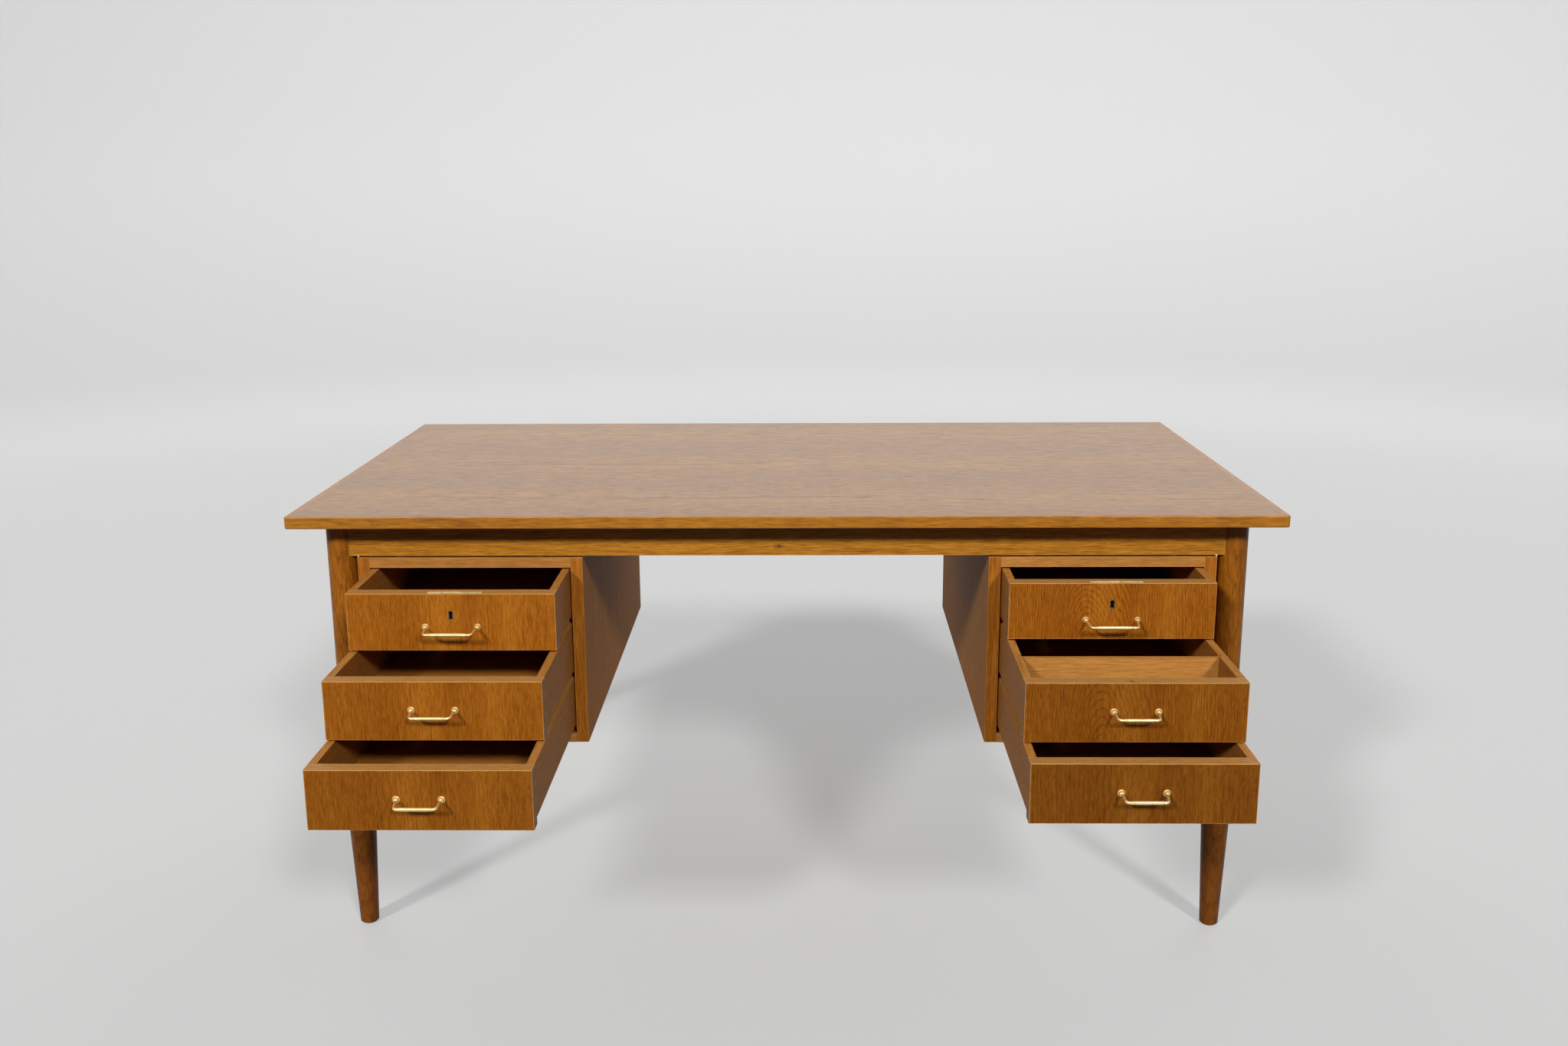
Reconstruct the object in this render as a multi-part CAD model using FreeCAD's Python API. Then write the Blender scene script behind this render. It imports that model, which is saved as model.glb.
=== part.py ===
"""A writing desk on four round legs, with two drawer pedestals hung under its aprons.

Millimetres, X to the right, Y away from the sitter, Z up. The desk is laid out about the centre of
its top, with z = 0 on the floor, and is shifted along Y as it is saved, so that the origin lies under
the middle of the whole object with its drawers standing open.
"""
import FreeCAD
import Part
import math
import os
from collections import namedtuple

Vector = FreeCAD.Vector

# Clearances and cutting allowances
glue_gap = 0.1
cope_gap = 0.2
run_gap = 0.3
screw_gap = 0.15
overrun = 1

# The top
desk_height = 740
top_length = 1600
top_depth = 900
top_thickness = 20
lipping_width = 12
top_corner_radius = 5
top_arris_radius = 2.5

# The legs
leg_inset = 69
leg_radius = 23.5
foot_radius = 15.5
taper_height = 205
foot_chamfer = 3

# The aprons and their tenons
apron_height = 57
apron_thickness = 22
apron_face_offset = 17
tenon_thickness = 10
tenon_shoulder = 6
tenon_depth = 18

# The pedestals
pedestal_leg_gap = 5.5
pedestal_width = 370
pedestal_height = 321
pedestal_face_lead = 1
hang_gap = 3
carcass_side_thickness = 20
carcass_top_thickness = 17
carcass_bottom_thickness = 16
carcass_arris_radius = 0.8
tongue_thickness = 8
tongue_depth = 6
tongue_setback = 18
well_back_thickness = 10
well_clearance = 14

# The drawers
drawer_count = 3
drawer_gap = 3
drawer_side_gap = 2
drawer_length = 520
front_thickness = 24
front_arris_radius = 1
drawer_side_thickness = 12
drawer_back_thickness = 12
drawer_back_inset = 8
drawer_back_drop = 8
back_housing = 4
drawer_bottom_thickness = 5
bottom_groove_depth = 5
bottom_groove_lift = 6
divider_thickness = 8
divider_setback = 124
divider_drop = 3
divider_housing = 4

# How far each drawer stands open
top_left_opening = 145
middle_left_opening = 282
bottom_left_opening = 388
top_right_opening = 88
middle_right_opening = 288
bottom_right_opening = 362

# The drawer runners
runner_height = 10
runner_reach = 13
runner_housing = 4
runner_stop_gap = 0.5
runner_back_gap = 4

# The dovetails between drawer fronts and sides
tail_count = 3
lap_thickness = 8
pin_width = 5
tail_slope_share = 1 / 6

# The bow handles, wide ones on the top drawers and narrow ones below
wide_handle_centres = 81.5
wide_bar_length = 74
wide_grip_radius = 3.2
wide_handle_projection = 32
narrow_handle_centres = 65
narrow_bar_length = 60
narrow_grip_radius = 2.7
narrow_handle_projection = 27
handle_bar_drop = 3.5
handle_wire_radius = 2.3
handle_bend_radius = 6
grip_end_inset = 9
grip_end_length = 3
collar_rise = 0.3
collar_length = 1.4
rosette_radius = 5.4
rosette_rim_height = 1.2
rosette_step_radius = 4.6
rosette_step_height = 2.6
rosette_neck_radius = 3.3
rosette_height = 5

# How high the handles' feet stand on the drawer fronts
top_left_handle_rise_share = 0.42
top_right_handle_rise_share = 0.345
lower_handle_rise_share = 0.52

# The machine screws of the handles
handle_screw_radius = 1.6
handle_screw_reach = 4
handle_screw_head_radius = 3.8
handle_screw_head_height = 2.2
screw_slot_width = 1
screw_slot_depth = 0.9

# The wood screws of the frame
wood_screw_radius = 2.5
wood_screw_head_radius = 5
wood_screw_head_height = 3
wood_screw_tip = 6
hanger_screw_length = 45
hanger_spacing = 230
hanger_spacer_radius = 9
top_screw_length = 34
top_screw_counterbore_radius = 6
top_screw_counterbore_depth = 35
long_apron_screw_shares = (-0.36, -0.12, 0.12, 0.36)
side_apron_screw_shares = (-0.25, 0.25)

# The locks of the top drawers
selvedge_length = 84
selvedge_shift = 6.5
selvedge_width = 10
selvedge_thickness = 2
selvedge_setback = 2.5
lock_case_width = 60
lock_case_height = 44
lock_case_thickness = 7
lock_wall = 1.2
bolt_width = 24
bolt_shoulder_width = 34
bolt_length = 24.5
bolt_travel = 8
bolt_lug_height = 2
bolt_lug_width = 6
bolt_notch_width = 7
bolt_notch_height = 5
bolt_mortise_depth = 7
bolt_mortise_gap = 0.8

# The keyholes
keyhole_drop = 34.5
keyhole_radius = 3.5
keyhole_length = 13
keyhole_waist_width = 4.8
keyhole_foot_width = 6.4
liner_wall = 0.8
liner_depth = 3

# Levels and places worked out from the sizes above
top_underside = desk_height - top_thickness
apron_bottom = top_underside - apron_height
leg_x = top_length / 2 - leg_inset
leg_y = top_depth / 2 - leg_inset
apron_middle_offset = apron_face_offset - apron_thickness / 2
apron_middle_x = leg_x + apron_middle_offset
apron_middle_y = leg_y + apron_middle_offset
tenon_end_x = leg_x - leg_radius + tenon_depth
tenon_end_y = leg_y - leg_radius + tenon_depth
tenon_z = (apron_bottom + tenon_shoulder, top_underside - tenon_shoulder)

pedestal_top = apron_bottom - hang_gap
pedestal_bottom = pedestal_top - pedestal_height
pedestal_centre_x = leg_x - leg_radius - pedestal_leg_gap - pedestal_width / 2
pedestal_half_depth = leg_y + apron_face_offset + pedestal_face_lead
pedestal_front = -pedestal_half_depth
opening_half_width = pedestal_width / 2 - carcass_side_thickness
opening_top = pedestal_top - carcass_top_thickness
opening_bottom = pedestal_bottom + carcass_bottom_thickness
well_back_front = pedestal_front + drawer_length + well_clearance

front_height = (opening_top - opening_bottom - drawer_gap * (drawer_count + 1)) / drawer_count
front_half_width = opening_half_width - drawer_side_gap
drawer_inner_half_width = front_half_width - drawer_side_thickness
side_lift = runner_height + run_gap
side_height = front_height - side_lift
bottom_z = (side_lift + bottom_groove_lift, side_lift + bottom_groove_lift + drawer_bottom_thickness)
back_end = drawer_length - drawer_back_inset

selvedge_y = (selvedge_setback, selvedge_setback + selvedge_width)
selvedge_z = (front_height - selvedge_thickness, front_height)
lock_middle_y = selvedge_setback + selvedge_width / 2
bolt_thickness = lock_case_thickness - 2 * lock_wall - 2 * run_gap
bolt_z = (front_height - run_gap - bolt_length, front_height - run_gap)
bolt_shoulder_top = selvedge_z[0] - bolt_travel - run_gap
keyhole_z = front_height - keyhole_drop

Handle = namedtuple("Handle", "centres bar_length grip_radius projection")
wide_handle = Handle(wide_handle_centres, wide_bar_length, wide_grip_radius, wide_handle_projection)
narrow_handle = Handle(narrow_handle_centres, narrow_bar_length, narrow_grip_radius,
                       narrow_handle_projection)

# Each drawer has a pedestal side, a row from the bottom, an opening and a handle
Drawer = namedtuple("Drawer", "name side row opening handle rise_share")
drawers = (
    Drawer("top_left", -1, 2, top_left_opening, wide_handle, top_left_handle_rise_share),
    Drawer("middle_left", -1, 1, middle_left_opening, narrow_handle, lower_handle_rise_share),
    Drawer("bottom_left", -1, 0, bottom_left_opening, narrow_handle, lower_handle_rise_share),
    Drawer("top_right", 1, 2, top_right_opening, wide_handle, top_right_handle_rise_share),
    Drawer("middle_right", 1, 1, middle_right_opening, narrow_handle, lower_handle_rise_share),
    Drawer("bottom_right", 1, 0, bottom_right_opening, narrow_handle, lower_handle_rise_share),
)
front_reach = max(drawer.opening + drawer.handle.projection + drawer.handle.grip_radius + collar_rise
                  for drawer in drawers)
origin_y = (top_depth / 2 + pedestal_front - front_reach) / 2


def span(centre, width):
    """The low and high ends of a width about its centre."""
    return (centre - width / 2, centre + width / 2)


def grown(pair, gap):
    return (pair[0] - gap, pair[1] + gap)


def block(x, y, z, gap=0):
    """A box between low and high ends along each axis, grown on all sides by a gap."""
    x, y, z = grown(x, gap), grown(y, gap), grown(z, gap)
    return Part.makeBox(x[1] - x[0], y[1] - y[0], z[1] - z[0], Vector(x[0], y[0], z[0]))


def rod(radius, start, end):
    axis = end.sub(start)
    return Part.makeCylinder(radius, axis.Length, start, axis)


def turned(profile, base, axis):
    """A solid turned about an axis through base, from (radius, distance along the axis) points."""
    points = [Vector(radius, 0, along) for radius, along in profile]
    face = Part.Face(Part.makePolygon(points + points[:1]))
    solid = face.revolve(Vector(), Vector(0, 0, 1), 360)
    solid.Placement = FreeCAD.Placement(base, FreeCAD.Rotation(Vector(0, 0, 1), axis))
    return solid


def prism(points, direction):
    return Part.Face(Part.makePolygon(points + points[:1])).extrude(direction)


def joined(solids):
    return solids[0].multiFuse(solids[1:]).removeSplitter()


def less(solid, cutters):
    return solid.cut(Part.makeCompound(cutters)).removeSplitter()


def placed(solid, x=0, y=0, z=0):
    copy = solid.copy()
    copy.translate(Vector(x, y, z))
    return copy


def eased(solid, radius, test):
    """Rounds the edges whose two end points both pass a test."""
    edges = [e for e in solid.Edges if all(test(v.Point) for v in e.Vertexes)]
    return solid.makeFillet(radius, edges)


def is_level(value, level):
    return abs(value - level) < glue_gap


def save(name, solids):
    """Writes one node, with its separate solids as a group."""
    shape = solids[0] if len(solids) == 1 else Part.makeCompound(solids)
    placed(shape, y=-origin_y).exportStep(f"parts/{name}.step")


def wood_screw(length, gap=0):
    """A countersunk screw that points up from its head at the origin, or its hole when grown by a gap."""
    profile = [
        (0, 0),
        (wood_screw_head_radius + gap, 0),
        (wood_screw_radius + gap, wood_screw_head_height),
        (wood_screw_radius + gap, length - wood_screw_tip + gap),
        (0, length + gap),
    ]
    screw = turned(profile, Vector(), Vector(0, 0, 1))
    if gap:
        return screw
    return screw.cut(block(span(0, 2 * wood_screw_head_radius + overrun), span(0, screw_slot_width),
                           (-overrun, screw_slot_depth)))


def hanger_places():
    """Where the screws go that hang the pedestals under the front and back aprons."""
    return [
        Vector(side * pedestal_centre_x + x, end * apron_middle_y, opening_top)
        for side in (-1, 1)
        for end in (-1, 1)
        for x in span(0, hanger_spacing)
    ]


def top_screw_places():
    """Where the screws go that hold the top, in counterbores under the aprons."""
    level = apron_bottom + top_screw_counterbore_depth
    along = [Vector(share * 2 * leg_x, end * apron_middle_y, level)
             for end in (-1, 1) for share in long_apron_screw_shares]
    across = [Vector(end * apron_middle_x, share * 2 * leg_y, level)
              for end in (-1, 1) for share in side_apron_screw_shares]
    return along + across


def screws_at(places, length, gap=0):
    return [placed(wood_screw(length, gap), *place) for place in places]


def screw_holes():
    """All the frame's screw holes, with the counterbores of the top's screws."""
    holes = screws_at(hanger_places(), hanger_screw_length, screw_gap)
    holes += screws_at(top_screw_places(), top_screw_length, screw_gap)
    for place in top_screw_places():
        mouth = Vector(place.x, place.y, apron_bottom - overrun)
        holes.append(rod(top_screw_counterbore_radius, mouth, place))
    return holes


def make_top():
    slab = block(span(0, top_length), span(0, top_depth), (top_underside, desk_height))
    upright = [e for e in slab.Edges if not is_level(e.Vertexes[0].Z, e.Vertexes[-1].Z)]
    slab = slab.makeFillet(top_corner_radius, upright)
    slab = eased(slab, top_arris_radius,
                 lambda p: is_level(p.z, top_underside) or is_level(p.z, desk_height))
    core = block(span(0, top_length - 2 * lipping_width), span(0, top_depth - 2 * lipping_width),
                 (top_underside - overrun, desk_height + overrun))
    save("top_panel", [less(slab.common(core), screw_holes())])
    rim = slab.cut(core)
    save("top_lipping", [rim.common(mitred_length(*ends)).removeSplitter() for ends in
                         ((1, -1, -1, -1), (1, 1, -1, 1), (-1, -1, -1, 1), (1, -1, 1, 1))])


def mitred_length(x0, y0, x1, y1):
    """The plan of one lipping between two corners of the top, cut at 45 degrees at both ends."""
    corners = [(x0, y0, overrun), (x1, y1, overrun), (x1, y1, -lipping_width), (x0, y0, -lipping_width)]
    points = [Vector(x * (top_length / 2 + out), y * (top_depth / 2 + out), top_underside - overrun)
              for x, y, out in corners]
    return prism(points, Vector(0, 0, top_thickness + 2 * overrun))


def long_tenons(end, gap=0):
    """The bar that stands out of both ends of the front or back apron."""
    return block(span(0, 2 * tenon_end_x), span(end * apron_middle_y, tenon_thickness), tenon_z, gap)


def side_tenons(end, gap=0):
    return block(span(end * apron_middle_x, tenon_thickness), span(0, 2 * tenon_end_y), tenon_z, gap)


def leg_shanks(gap):
    """The round of each leg beside the aprons, grown by a gap, to cope the apron ends."""
    low, high = apron_bottom - overrun, top_underside + overrun
    return [rod(leg_radius + gap, Vector(x, y, low), Vector(x, y, high))
            for x in (-leg_x, leg_x) for y in (-leg_y, leg_y)]


def make_legs():
    profile = [
        (0, 0),
        (foot_radius - foot_chamfer, 0),
        (foot_radius, foot_chamfer),
        (leg_radius, taper_height),
        (leg_radius, top_underside),
        (0, top_underside),
    ]
    for x, x_name in ((-1, "left"), (1, "right")):
        for y, y_name in ((-1, "front"), (1, "back")):
            leg = turned(profile, Vector(x * leg_x, y * leg_y, 0), Vector(0, 0, 1))
            leg = less(leg, [long_tenons(y, glue_gap), side_tenons(x, glue_gap)])
            save(f"{y_name}_{x_name}_leg", [leg])


def make_aprons():
    height = (apron_bottom, top_underside)
    for end, name in ((-1, "front"), (1, "back")):
        board = block(span(0, 2 * leg_x), span(end * apron_middle_y, apron_thickness), height)
        apron = joined([less(board, leg_shanks(cope_gap)), long_tenons(end)])
        save(f"{name}_apron", [less(apron, screw_holes())])
    for end, name in ((-1, "left"), (1, "right")):
        board = block(span(end * apron_middle_x, apron_thickness), span(0, 2 * leg_y), height)
        apron = joined([less(board, leg_shanks(cope_gap)), side_tenons(end)])
        save(f"{name}_apron", [less(apron, screw_holes())])


def make_hangers():
    spacers = []
    for place in hanger_places():
        low = Vector(place.x, place.y, pedestal_top)
        high = Vector(place.x, place.y, apron_bottom)
        hole = rod(wood_screw_radius + screw_gap, low, high)
        spacers.append(rod(hanger_spacer_radius, low, high).cut(hole))
    save("hanger_spacers", spacers)
    save("frame_screws", screws_at(hanger_places(), hanger_screw_length)
         + screws_at(top_screw_places(), top_screw_length))


def tongue(z, gap=0):
    """The bar that stands out of both edges of a carcass top or bottom, stopped short of front and back."""
    half = pedestal_half_depth - tongue_setback
    return block(span(0, 2 * (opening_half_width + tongue_depth)), span(0, 2 * half),
                 span((z[0] + z[1]) / 2, tongue_thickness), gap)


def runner_bars(gap=0):
    """The six runners of one pedestal, centred on it: each starts behind a closed drawer's front."""
    y = (pedestal_front + front_thickness + runner_stop_gap, well_back_front - runner_back_gap)
    bars = []
    for row in range(drawer_count):
        low = front_bottom(row)
        for side in (-1, 1):
            inner, outer = opening_half_width - runner_reach, opening_half_width + runner_housing
            x = sorted((side * inner, side * outer))
            bars.append(block(x, y, (low, low + runner_height), gap))
    return bars


def front_bottom(row):
    """The level of the lower edge of a drawer front, by its row from the bottom."""
    return opening_bottom + drawer_gap + row * (front_height + drawer_gap)


def bolt_mortise():
    """The pocket over a closed top drawer that takes its raised lock bolt."""
    return block(span(0, bolt_width + 2 * bolt_mortise_gap),
                 span(pedestal_front + lock_middle_y, bolt_thickness + 2 * bolt_mortise_gap),
                 (opening_top - overrun, opening_top + bolt_mortise_depth))


def make_pedestals():
    depth = span(0, 2 * pedestal_half_depth)
    top_z = (opening_top, pedestal_top)
    bottom_panel_z = (pedestal_bottom, opening_bottom)
    between = span(0, 2 * opening_half_width)
    well_x = span(0, 2 * (opening_half_width + tongue_depth))
    well_y = (well_back_front, well_back_front + well_back_thickness)
    well_z = (opening_bottom, opening_top)
    grooves = [tongue(top_z, glue_gap), tongue(bottom_panel_z, glue_gap)]
    grooves += [block(well_x, well_y, well_z, glue_gap)] + runner_bars(glue_gap)

    carcass_top = joined([block(between, depth, top_z), tongue(top_z)])
    carcass_bottom = joined([block(between, depth, bottom_panel_z), tongue(bottom_panel_z)])
    well_back = block(well_x, well_y, well_z)
    sides = {}
    for side in (-1, 1):
        x = sorted((side * opening_half_width, side * pedestal_width / 2))
        panel = block(x, depth, (pedestal_bottom, pedestal_top))
        panel = eased(panel, carcass_arris_radius, lambda p: is_level(abs(p.y), pedestal_half_depth))
        sides[side] = less(panel, grooves)

    runners = []
    for side, name in ((-1, "left"), (1, "right")):
        x = side * pedestal_centre_x
        save(f"{name}_pedestal_outer_side", [placed(sides[side], x)])
        save(f"{name}_pedestal_inner_side", [placed(sides[-side], x)])
        bored_top = less(placed(carcass_top.cut(bolt_mortise()), x), screw_holes())
        save(f"{name}_pedestal_top", [bored_top])
        save(f"{name}_pedestal_bottom", [placed(carcass_bottom, x)])
        save(f"{name}_pedestal_well_back", [placed(well_back, x)])
        runners += [placed(bar, x) for bar in runner_bars()]
    save("drawer_runners", runners)


# From here each drawer is drawn about its own front: x = 0 in the middle, y = 0 on the front face,
# y running backwards, and z = 0 on the lower edge of the front.


def tails(side, gap=0):
    """The dovetails on the front end of one drawer side, grown by a gap for their sockets."""
    pitch = side_height / tail_count
    tip = (pitch - pin_width) / 2 + gap
    root = tip - (front_thickness - lap_thickness) * tail_slope_share
    shapes = []
    for index in range(tail_count):
        z = side_lift + pitch * (index + 1 / 2)
        x = side * (drawer_inner_half_width - gap)
        outline = [(lap_thickness - gap, -tip), (front_thickness, -root), (front_thickness, root),
                   (lap_thickness - gap, tip)]
        points = [Vector(x, y, z + rise) for y, rise in outline]
        shapes.append(prism(points, Vector(side * (drawer_side_thickness + gap), 0, 0)))
    return shapes


def drawer_bottom(gap=0):
    return block(span(0, 2 * (drawer_inner_half_width + bottom_groove_depth)),
                 (front_thickness - bottom_groove_depth, back_end), bottom_z, gap)


def drawer_back(gap=0):
    return block(span(0, 2 * (drawer_inner_half_width + back_housing)),
                 (back_end - drawer_back_thickness, back_end),
                 (bottom_z[1], front_height - drawer_back_drop), gap)


def drawer_divider():
    return block(span(0, 2 * (drawer_inner_half_width + divider_housing)),
                 (divider_setback, divider_setback + divider_thickness),
                 (bottom_z[1], front_height - divider_drop))


def divider_slots():
    """The upright slots for the divider, open at the top edges of the drawer sides."""
    return block(span(0, 2 * (drawer_inner_half_width + divider_housing + glue_gap)),
                 grown((divider_setback, divider_setback + divider_thickness), glue_gap),
                 (bottom_z[1], front_height + overrun))


def drawer_sides(cutters):
    pieces = []
    for side in (-1, 1):
        x = sorted((side * drawer_inner_half_width, side * front_half_width))
        board = block(x, (front_thickness, drawer_length), (side_lift, front_height))
        housings = [drawer_bottom(glue_gap), drawer_back(glue_gap)]
        pieces.append(less(joined([board] + tails(side)), housings + cutters))
    return pieces


def drawer_front(cutters):
    board = block(span(0, 2 * front_half_width), (0, front_thickness), (0, front_height))
    board = eased(board, front_arris_radius, lambda p: is_level(p.y, 0))
    return less(board, tails(-1, glue_gap) + tails(1, glue_gap) + [drawer_bottom(glue_gap)] + cutters)


def rounded_path(points, radius):
    """Straight runs through the points, with tangent arcs at the inner ones."""
    edges = []
    start = points[0]
    for before, corner, after in zip(points, points[1:], points[2:]):
        back = before.sub(corner).normalize()
        ahead = after.sub(corner).normalize()
        half_angle = back.getAngle(ahead) / 2
        reach = radius / math.tan(half_angle)
        towards = back.add(ahead).normalize()
        middle = corner + towards * (radius / math.sin(half_angle) - radius)
        edges.append(Part.makeLine(start, corner + back * reach))
        edges.append(Part.Arc(corner + back * reach, middle, corner + ahead * reach).toShape())
        start = corner + ahead * reach
    edges.append(Part.makeLine(start, points[-1]))
    return Part.Wire(edges)


def handle_grip(bar_length, radius, middle):
    """The thicker part of the bar about its middle, with a slight collar at each end of it."""
    half = bar_length / 2 - grip_end_inset
    sideways = Vector(1, 0, 0)
    profile = [
        (0, -half),
        (handle_wire_radius, -half),
        (radius, -half + grip_end_length),
        (radius, half - grip_end_length),
        (handle_wire_radius, half),
        (0, half),
    ]
    grip = turned(profile, middle, sideways)
    collars = [rod(radius + collar_rise, middle + sideways * low, middle + sideways * high)
               for low, high in (span(-half, collar_length), span(half, collar_length))]
    collars = [collar.makeFillet(collar_length / 3, collar.Edges) for collar in collars]
    return [grip] + collars


def handle_rosette(x):
    """The turned foot of a handle, standing on the drawer front."""
    profile = [
        (0, 0),
        (rosette_radius, 0),
        (rosette_radius, rosette_rim_height),
        (rosette_step_radius, rosette_rim_height),
        (rosette_step_radius, rosette_step_height),
        (rosette_neck_radius, rosette_height),
        (0, rosette_height),
    ]
    return turned(profile, Vector(x, 0, 0), Vector(0, -1, 0))


def handle_screws(centres, gap=0):
    """The machine screws from inside the drawer into the handle's feet, or their holes with a gap."""
    screws = []
    for x in span(0, centres):
        shank = rod(handle_screw_radius + gap, Vector(x, front_thickness, 0),
                    Vector(x, -handle_screw_reach - gap, 0))
        if gap:
            screws.append(shank)
            continue
        head = rod(handle_screw_head_radius, Vector(x, front_thickness, 0),
                   Vector(x, front_thickness + handle_screw_head_height, 0))
        crown = front_thickness + handle_screw_head_height
        slot = block(span(x, screw_slot_width), (crown - screw_slot_depth, crown + overrun),
                     span(0, 2 * handle_screw_head_radius + overrun))
        screws.append(joined([shank, head]).cut(slot))
    return screws


def handle(size):
    """A bow handle about the middle of its feet, with its two screws as separate solids."""
    middle = Vector(0, -size.projection, -handle_bar_drop)
    feet = [Vector(x, -rosette_rim_height, 0) for x in span(0, size.centres)]
    ends = [middle + Vector(x, 0, 0) for x in span(0, size.bar_length)]
    path = rounded_path([feet[0], ends[0], ends[1], feet[1]], handle_bend_radius)
    ring = Part.Wire(Part.makeCircle(handle_wire_radius, feet[0], ends[0].sub(feet[0])))
    wire = path.makePipeShell([ring], True, False)
    rosettes = [handle_rosette(x) for x in span(0, size.centres)]
    bail = joined([wire] + handle_grip(size.bar_length, size.grip_radius, middle) + rosettes)
    return [less(bail, handle_screws(size.centres, screw_gap))] + handle_screws(size.centres)


def keyhole(y, grow=0):
    """The upright keyhole through a thickness y, grown all round for the outside of its liner."""
    crown = keyhole_z + keyhole_length / 2 - keyhole_radius
    foot = keyhole_z - keyhole_length / 2 - grow
    waist = keyhole_waist_width / 2 + grow
    flare = keyhole_foot_width / 2 + grow
    outline = [(-waist, crown), (-flare, foot), (flare, foot), (waist, crown)]
    slot = prism([Vector(x, y[0], z) for x, z in outline], Vector(0, y[1] - y[0], 0))
    return joined([rod(keyhole_radius + grow, Vector(0, y[0], crown), Vector(0, y[1], crown)), slot])


def lock_bolt():
    """The bolt with its shoulders, lowered, and a notch that the key turns in."""
    y = span(lock_middle_y, bolt_thickness)
    tongue_bar = block(span(0, bolt_width), y, bolt_z)
    shoulders = block(span(0, bolt_shoulder_width), y, (bolt_z[0], bolt_shoulder_top))
    notch = block(span(0, bolt_notch_width), grown(y, overrun),
                  (bolt_z[0] - overrun, bolt_z[0] + bolt_notch_height))
    return less(joined([tongue_bar, shoulders]), [notch])


def lock_outline(gap=0):
    """The case and selvedge as solid blocks, grown by a gap for the mortise in the drawer front."""
    case_z = (selvedge_z[0] - lock_case_height, selvedge_z[0])
    case = block(span(0, lock_case_width), span(lock_middle_y, lock_case_thickness), case_z, gap)
    return joined([case, block(span(selvedge_shift, selvedge_length), selvedge_y, selvedge_z, gap)])


def lock_case():
    inside_y = span(lock_middle_y, lock_case_thickness - 2 * lock_wall)
    floor = selvedge_z[0] - lock_case_height + lock_wall
    hollow = block(span(0, lock_case_width - 2 * lock_wall), inside_y, (floor, selvedge_z[0]))
    mouth = block(span(0, bolt_width + 2 * run_gap), inside_y,
                  (selvedge_z[0] - overrun, front_height + overrun))
    key_way = keyhole((lock_middle_y - lock_case_thickness, lock_middle_y))
    case = less(lock_outline(), [hollow, mouth, key_way])
    lug_top = bolt_z[0] - run_gap
    lugs = [block(span(x, bolt_lug_width), inside_y, (lug_top - bolt_lug_height, lug_top))
            for x in span(0, bolt_shoulder_width - bolt_lug_width)]
    return joined([case] + lugs)


def keyhole_liner():
    return keyhole((0, liner_depth), liner_wall).cut(keyhole((-overrun, liner_depth + overrun)))


def lock_cutters():
    """What the lock takes out of a top drawer's front."""
    return [lock_outline(glue_gap), keyhole((-overrun, liner_depth + glue_gap), liner_wall + glue_gap),
            keyhole((0, lock_middle_y))]


def make_drawers():
    for drawer in drawers:
        has_lock = drawer.row == drawer_count - 1
        has_divider = drawer.name == "middle_right"
        rise = drawer.rise_share * front_height
        holes = [placed(hole, z=rise) for hole in handle_screws(drawer.handle.centres, screw_gap)]
        nodes = {
            "drawer_front": [drawer_front(holes + (lock_cutters() if has_lock else []))],
            "drawer_sides": drawer_sides([divider_slots()] if has_divider else []),
            "drawer_back": [drawer_back()],
            "drawer_bottom": [drawer_bottom()],
            "handle": [placed(piece, z=rise) for piece in handle(drawer.handle)],
        }
        if has_divider:
            nodes["drawer_divider"] = [drawer_divider()]
        if has_lock:
            nodes["lock_case"] = [lock_case()]
            nodes["lock_bolt"] = [lock_bolt()]
            nodes["keyhole_liner"] = [keyhole_liner()]
        at = (drawer.side * pedestal_centre_x, pedestal_front - drawer.opening, front_bottom(drawer.row))
        for node, solids in nodes.items():
            save(f"{drawer.name}_{node}", [placed(solid, *at) for solid in solids])


os.makedirs("parts", exist_ok=True)
make_top()
make_legs()
make_aprons()
make_hangers()
make_pedestals()
make_drawers()
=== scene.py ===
"""The finishes, light and camera of an oak writing desk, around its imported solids."""
import math
from collections import namedtuple

import bpy
from mathutils import Matrix, Vector


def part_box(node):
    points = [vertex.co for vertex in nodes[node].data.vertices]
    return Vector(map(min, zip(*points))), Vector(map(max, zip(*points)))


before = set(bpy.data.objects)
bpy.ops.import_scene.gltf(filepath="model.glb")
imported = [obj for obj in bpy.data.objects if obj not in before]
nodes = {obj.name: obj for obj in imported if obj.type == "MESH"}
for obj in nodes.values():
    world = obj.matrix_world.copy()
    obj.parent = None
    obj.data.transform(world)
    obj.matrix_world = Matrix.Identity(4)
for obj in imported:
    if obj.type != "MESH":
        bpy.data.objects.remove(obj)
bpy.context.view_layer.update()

top_low, top_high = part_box("top_panel")
desk_middle_y = (top_low.y + top_high.y) / 2
sides = ("left", "right")
drawer_names = [f"{row}_{side}" for side in sides for row in ("top", "middle", "bottom")]
along_x, along_y, along_z = range(3)

# The camera: its lens in the photograph's pixels, its place in metres and its turns in radians
photo_width = 2047
focal_pixels = 1946.6
camera_place = Vector((0.0385, desk_middle_y - 2.7535, 1.2734))
camera_yaw = 0.017
camera_pitch = 0.2319
camera_roll = 0.0057
sensor_width = 36

# The studio: a pale floor that turns up into a round wall, in metres
floor_radius = 5.0
cove_radius = 1.6
wall_height = 3.0
stage_steps = 96
cove_steps = 12

# Its paper: the tones of the floor and the cove, the heights between which the one turns into the
# other and back, a glow that is only seen, and the tones that light bounces off in front and behind
paper_pale = (0.36, 0.36, 0.357)
cove_pale = (0.29, 0.29, 0.29)
cove_starts = (0.0, 0.3)
cove_ends = (0.35, 1.7)
speckle_share = 0.03
paper_roughness = 0.9
paper_shine = 0.1
paper_relief = 0.0001
paper_glow = 0.29
front_bounce = (0.05, 0.05, 0.05)
back_bounce = (0.60, 0.60, 0.60)
bounce_turn = 1.5

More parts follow.
